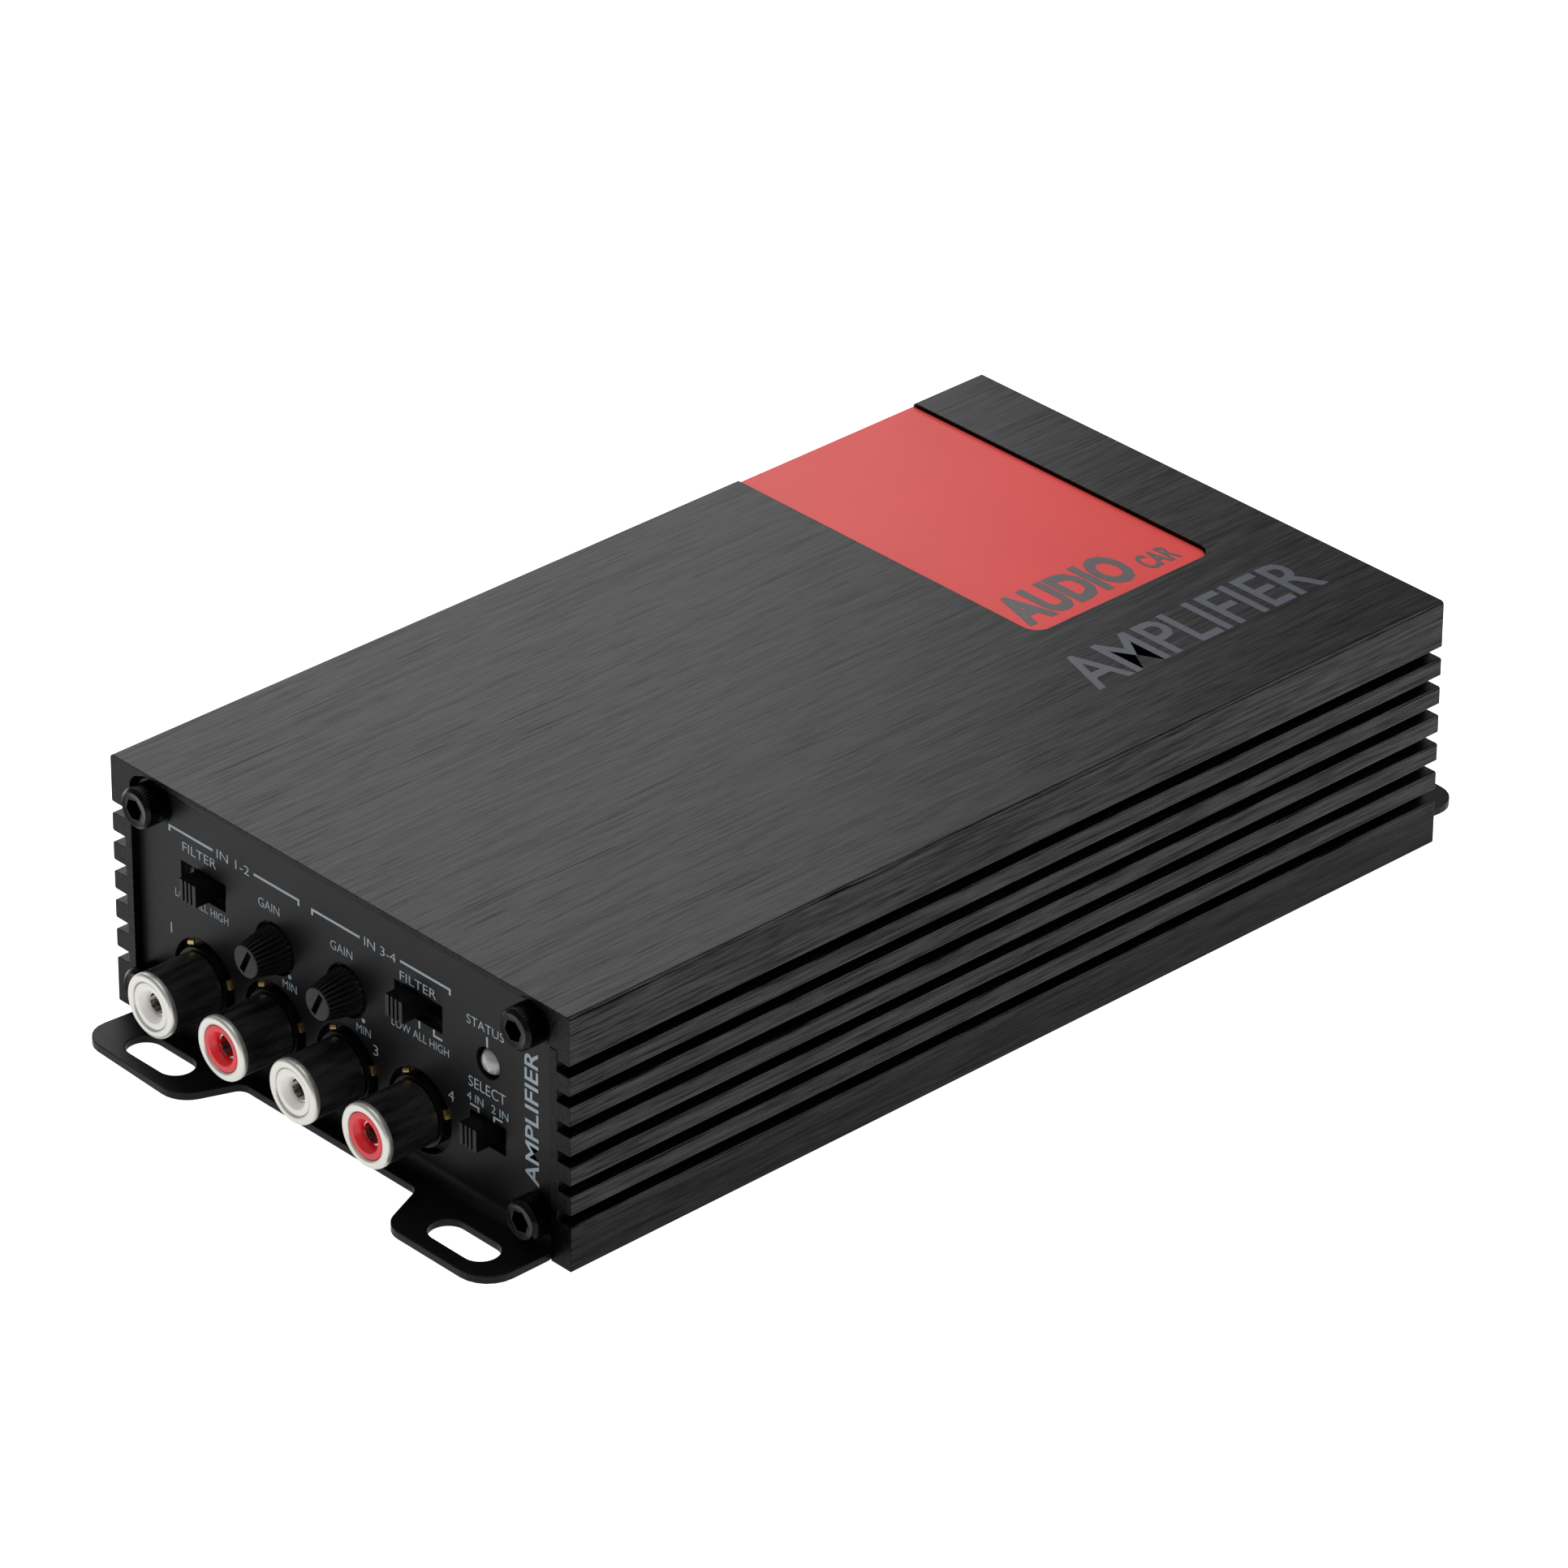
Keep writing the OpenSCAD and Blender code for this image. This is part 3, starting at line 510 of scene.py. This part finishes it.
def rca_shell(i):
    """Black barrel with a bright rolled rim; profile depths from the jack's front."""
    node = f"rca_shell_{i}"
    low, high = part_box(node)
    outer = (high.x - low.x) / 2 / MM
    depth = (high.y - low.y) / MM
    barrel = outer - 0.06
    rim = arc(3.42, 0.42, 0.42, 180, 270, 5)
    rim += arc(outer - 0.5, 0.5, 0.5, -90, 0, 8)
    rim += [(outer, 0.85), (outer - 0.02, 0.95)]
    back = [(barrel, 1.0), (barrel, depth - 0.3), (barrel - 0.3, depth), (3.5, depth), (3.5, 0.8), (3.0, 0.75)]
    bm = bmesh.new()
    bright = len(rim) - 1
    lathe(bm, rim + back, Vector((centre(node).x, low.y, centre(node).z)), 128,
          lambda k: 0 if k < bright or k >= len(rim) + len(back) - 2 else 1)
    made = piece(f"rca_barrel_{i}", bm, [SATIN_NICKEL, BLACK_NICKEL], smooth=40)
    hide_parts(node)


def rca_insulator(i):
    """Moulded ring and funnel round the centre hole."""
    node = f"rca_insulator_{i}"
    low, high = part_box(node)
    origin = Vector((centre(node).x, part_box(f"rca_shell_{i}")[0].y, centre(node).z))
    tail = (high.y - origin.y) / MM
    profile = [(2.98, 0.9), (2.98, 0.34)] + arc(2.88, 0.32, 0.1, 0, -90, 3)
    profile += arc(2.3, 0.37, 0.15, -90, -135, 3)
    profile += [(1.68, 0.95), (1.6, 1.15), (1.6, 4.0), (1.92, 4.0)]
    profile += [(1.92, tail), (3.45, tail), (3.45, 0.9)]
    bm = bmesh.new()
    lathe(bm, profile, origin, 96)
    slot = slot_of[node]
    made = piece(f"rca_funnel_{i}", bm, [FINISHES[slot]], smooth=50)
    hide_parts(node)
    return origin


def contact_fingers(i, origin):
    """Four sprung fingers of the centre contact, seen down the hole."""
    parts = []
    inner, outer, start, end = 1.36, 1.54, 1.3, 4.6
    for quarter in range(4):
        angles = [math.radians(90 * quarter + 12 + 66 * k / 8) for k in range(9)]
        outline = [(outer * math.cos(a), outer * math.sin(a)) for a in angles]
        outline += [(inner * math.cos(a), inner * math.sin(a)) for a in reversed(angles)]
        parts.append(prism(outline, start, end, lambda u, v, h: origin + mm(u, h, v)))
    piece(f"rca_fingers_{i}", merge(parts), [FINISHES["nickel"]], smooth=40)


def ground_tab(i, origin):
    """Bent earth springs between the jack and the edge of its hole in the faceplate."""
    parts = []
    for angle in (112, 20):
        a = math.radians(angle)
        out = Vector((math.cos(a), 0, math.sin(a)))
        along = Vector((-math.sin(a), 0, math.cos(a)))
        base = origin + out * mm(4.5) + Vector((0, plate_y - origin.y, 0))
        bend = [(-0.1, 1.9), (-0.1, 0.2), (0.1, -0.25), (0.45, -0.45), (0.8, -0.35), (0.95, 0.0), (0.8, 0.0),
                (0.7, -0.2), (0.45, -0.28), (0.2, -0.15), (0.05, 0.25), (0.05, 1.9)]
        parts.append(prism(bend, -0.6, 0.6,
                           lambda u, v, h: base + out * mm(u) + Vector((0, mm(v), 0)) + along * mm(h)))
    piece(f"rca_ground_tab_{i}", merge(parts), [FINISHES["gold"]], smooth=50)


for i in range(1, 5):
    rca_shell(i)
    jack = rca_insulator(i)
    contact_fingers(i, jack)
    ground_tab(i, jack)


# Level knobs ---------------------------------------------------------------------------

KNOB_SLOT = math.radians(-27)


def knob(node, body):
    """Fluted cone with a screwdriver slot across its face."""
    low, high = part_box(node)
    origin = Vector((centre(node).x, low.y, centre(node).z))
    rings = [(1.8, 0.0, 0), (2.02, 0.03, 0), (2.12, 0.12, 0.2), (2.2, 0.3, 1), (2.62, 2.3, 1), (3.0, 4.2, 1),
             (3.08, 4.55, 0.3), (3.08, 5.6, 0), (1.5, 5.6, 0), (1.5, 9.5, 0)]
    bm = fluted(rings, 24, 8, 0.3, origin)
    ca, sa = math.cos(KNOB_SLOT), math.sin(KNOB_SLOT)
    slot = [(-0.42, -1.6), (0.42, -1.6), (0.42, 1.6), (-0.42, 1.6)]
    turned = [(u * ca - v * sa, u * sa + v * ca) for u, v in slot]
    bm = carve(bm, prism(turned, -1, 0.9, lambda u, v, h: origin + mm(u, h, v)))
    made = piece(node + "_detail", bm, [FINISHES["black_plastic"]], body, smooth=32)
    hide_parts(node)


knob("front_level_knob", "front_level_control")
knob("rear_level_knob", "rear_level_control")


# Printed legends -----------------------------------------------------------------------------

INK = 0.02          # thickness of the print, mm
LINE = 0.33         # width of a printed line, mm


def front_place(u, v, h):
    """u from the left edge of the body and v up from the base, on the faceplate."""
    return Vector((left_x, plate_y, 0)) + mm(u, -h, v)


def front_upright(u, v, h):
    """Lettering that reads upwards on the faceplate: u up, v towards the left edge."""
    return Vector((left_x, plate_y, 0)) + mm(-v, -h, u)


def top_place(u, v, h):
    """Lettering that reads away from the input end: u from it, v towards the left edge."""
    return Vector((left_x, front_y, top_z)) + mm(-v, u, h)


def window_place(u, v, h):
    """As top_place, on the window."""
    return Vector((left_x, front_y, window_z)) + mm(-v, u, h)


def lettering(words, place, u, v, weight=0.0):
    """Mesh of words stretched to fill u = (start, end) and v = (bottom, top)."""
    curve = bpy.data.curves.new("words", "FONT")
    curve.body = words
    curve.offset = weight
    curve.resolution_u = 3
    made = bpy.data.objects.new("words", curve)
    bpy.context.scene.collection.objects.link(made)
    bpy.context.view_layer.update()
    mesh = bpy.data.meshes.new_from_object(made.evaluated_get(bpy.context.evaluated_depsgraph_get()))
    bpy.data.objects.remove(made)
    bpy.data.curves.remove(curve)
    bm = bmesh.new()
    bm.from_mesh(mesh)
    bpy.data.meshes.remove(mesh)
    bmesh.ops.remove_doubles(bm, verts=bm.verts, dist=1e-5)
    xs = [p.co.x for p in bm.verts]
    ys = [p.co.y for p in bm.verts]
    wide = (u[1] - u[0]) / (max(xs) - min(xs))
    tall = (v[1] - v[0]) / (max(ys) - min(ys))
    top = bmesh.ops.extrude_face_region(bm, geom=bm.faces[:])
    raised = {p for p in top["geom"] if isinstance(p, bmesh.types.BMVert)}
    low_x, low_y = min(xs), min(ys)
    for face in bm.faces:
        face.smooth = False
    for p in bm.verts:
        height = INK if p in raised else 0.001
        p.co = place(u[0] + (p.co.x - low_x) * wide, v[0] + (p.co.y - low_y) * tall, height)
    return bm


def bar(place, u, v):
    """Printed rectangle."""
    return prism([(u[0], v[0]), (u[1], v[0]), (u[1], v[1]), (u[0], v[1])], 0.001, INK, place)


def dot(place, u, v, r=0.3):
    outline = [(u + r * math.cos(a * math.pi / 8), v + r * math.sin(a * math.pi / 8)) for a in range(16)]
    return prism(outline, 0.001, INK, place)


def group_bracket(start, gap, end, z):
    """Line with a gap for its heading and a short tick down at each end."""
    tick = 0.75
    return [
        bar(front_place, (start, gap[0]), (z - LINE / 2, z + LINE / 2)),
        bar(front_place, (gap[1], end), (z - LINE / 2, z + LINE / 2)),
        bar(front_place, (start, start + LINE), (z - tick, z - LINE / 2)),
        bar(front_place, (end - LINE, end), (z - tick, z - LINE / 2)),
    ]


def words(text, u0, u1, z, height=1.2, weight=-0.008):
    """Legend on the faceplate from u0 to u1, centred on height z."""
    return lettering(text, front_place, (u0, u1), (z - height / 2, z + height / 2), weight)


def legends():
    parts = group_bracket(9.2, (17.3, 24.7), 32.9, 27.83)
    parts += group_bracket(35.0, (43.6, 50.7), 59.5, 27.65)
    parts += [
        words("IN 1-2", 18.0, 23.9, 27.75), words("IN 3-4", 44.4, 49.9, 27.55),
        words("FILTER", 11.7, 17.8, 26.0), words("FILTER", 50.6, 56.9, 25.75),
        words("GAIN", 25.4, 29.2, 24.6), words("GAIN", 38.3, 42.2, 24.5),
        words("LOW ALL HIGH", 10.1, 19.8, 19.1, 1.1), words("LOW ALL HIGH", 49.0, 59.0, 18.9, 1.1),
        words("1", 9.0, 9.25, 13.7, 1.4), words("2", 34.8, 35.6, 14.7, 1.4),
        words("3", 45.6, 46.5, 13.4, 1.4), words("4", 58.8, 59.8, 13.4, 1.4),
        words("MIN", 29.5, 32.0, 15.2, 1.1), words("MIN", 42.7, 45.2, 15.2, 1.1),
        words("STATUS", 62.2, 68.6, 25.25), words("SELECT", 62.4, 68.8, 17.0, 1.4),
        words("4 IN", 62.1, 64.9, 14.9, 1.1), words("2 IN", 66.3, 69.2, 14.9, 1.1),
        dot(front_place, 30.8, 16.5), dot(front_place, 43.95, 16.5),
        bar(front_place, (53.75, 54.05), (20.0, 21.0)),
        bar(front_place, (56.3, 57.9), (20.0, 20.3)), bar(front_place, (56.3, 56.6), (20.3, 21.0)),
        bar(front_place, (65.55, 65.85), (22.8, 24.2)),
        bar(front_place, (62.6, 64.2), (13.75, 14.0)), bar(front_place, (63.9, 64.2), (13.25, 13.75)),
        bar(front_place, (66.6, 68.2), (13.75, 14.0)), bar(front_place, (66.6, 66.9), (13.25, 13.75)),
        lettering("AMPLIFIER", front_upright, (7.9, 25.8), (-74.4, -72.1), 0.012),
    ]
    piece("front_legends", merge(parts), [LEGEND])


legends()
piece("top_mark", lettering("AMPLIFIER", top_place, (96.5, 136.0), (-68.2, -59.9), 0.012),
      [TOP_MARK])
piece("window_mark", merge([
    lettering("AUDIO", window_place, (102.0, 121.5), (-51.0, -43.4), 0.05),
    lettering("CAR", window_place, (122.9, 128.2), (-50.9, -47.0), 0.03),
]), [WINDOW_MARK])


# Studio -------------------------------------------------------------------------------------------

def floor():
    """Lit from within, and a little more for the camera, so that it stays white everywhere."""
    f = Finish("floor", linear(240, 240, 240), Roughness=0.9, Specular_IOR_Level=0.1,
               Emission_Color=(1, 1, 1, 1))
    seen = f.node("ShaderNodeLightPath").outputs["Is Camera Ray"]
    f.link(f.spread(seen, 0.78, 1.1, 0.0, 1.0), f.shader.inputs["Emission Strength"])
    f.tint(f.noise((3, 3, 3), 2.0), 0.995, 1.005)
    half = 3.0
    bm = bmesh.new()
    corners = [(-half, -half), (half, -half), (half, half), (-half, half)]
    bm.faces.new([bm.verts.new((x, y, -mm(0.05))) for x, y in corners])
    mesh = bpy.data.meshes.new("floor")
    bm.to_mesh(mesh)
    bm.free()
    mesh.materials.append(f.material)
    made = bpy.data.objects.new("floor", mesh)
    bpy.context.scene.collection.objects.link(made)


def softbox(name, place, aim, size, power):
    """Rectangular area light at place, turned towards aim."""
    light = bpy.data.lights.new(name, "AREA")
    light.shape = "RECTANGLE"
    light.size, light.size_y = size
    light.energy = power
    made = bpy.data.objects.new(name, light)
    made.location = place
    made.rotation_euler = (Vector(place) - Vector(aim)).to_track_quat("Z", "Y").to_euler()
    bpy.context.scene.collection.objects.link(made)


def studio():
    """White backdrop for the camera, a dimmer room for everything that reflects it."""
    world = bpy.data.worlds.new("studio")
    world.use_nodes = True
    tree = world.node_tree
    background = tree.nodes["Background"]
    background.inputs["Color"].default_value = (1, 1, 1, 1)
    seen = tree.nodes.new("ShaderNodeLightPath")
    level = tree.nodes.new("ShaderNodeMapRange")
    level.inputs["To Min"].default_value = 0.32
    level.inputs["To Max"].default_value = 1.0
    tree.links.new(seen.outputs["Is Camera Ray"], level.inputs["Value"])
    tree.links.new(level.outputs["Result"], background.inputs["Strength"])
    scene = bpy.context.scene
    scene.world = world
    scene.view_settings.view_transform = "Standard"
    floor()
    top = Vector((0, 0, top_z))
    away = Vector((-0.6296, 0.5922, 0.5029))
    across = Vector((0.685, 0.728, 0.0))
    softbox("key", top + away * 0.45 - across * 0.148, top - across * 0.148, (0.37, 0.30), 0.8)
    softbox("rim", Vector((0.50, 0.59, 0.63)) * 0.9, top, (0.30, 0.30), 2.0)
    softbox("overhead", (0.0, 0.0, 1.1), (0, 0, 0), (0.9, 0.9), 3.0)


def camera():
    """Long lens, a little off level, seen from the front right corner."""
    azimuth, elevation, roll = math.radians(46.755), math.radians(30.195), math.radians(0.3346)
    aim, distance = mm(-2.80, 2.17, 17.0), 1.097
    forward = Vector((-math.sin(azimuth) * math.cos(elevation),
                      math.cos(azimuth) * math.cos(elevation), -math.sin(elevation)))
    level = forward.cross(Vector((0, 0, 1))).normalized()
    raised = level.cross(forward)
    right = level * math.cos(roll) + raised * math.sin(roll)
    up = right.cross(forward)
    made = bpy.data.objects.new("camera", bpy.data.cameras.new("camera"))
    made.data.sensor_width = 36
    made.data.lens = 208.22
    place = aim - forward * distance
    made.matrix_world = Matrix((
        (right.x, up.x, -forward.x, place.x),
        (right.y, up.y, -forward.y, place.y),
        (right.z, up.z, -forward.z, place.z),
        (0, 0, 0, 1)))
    bpy.context.scene.collection.objects.link(made)
    bpy.context.scene.camera = made


studio()
camera()
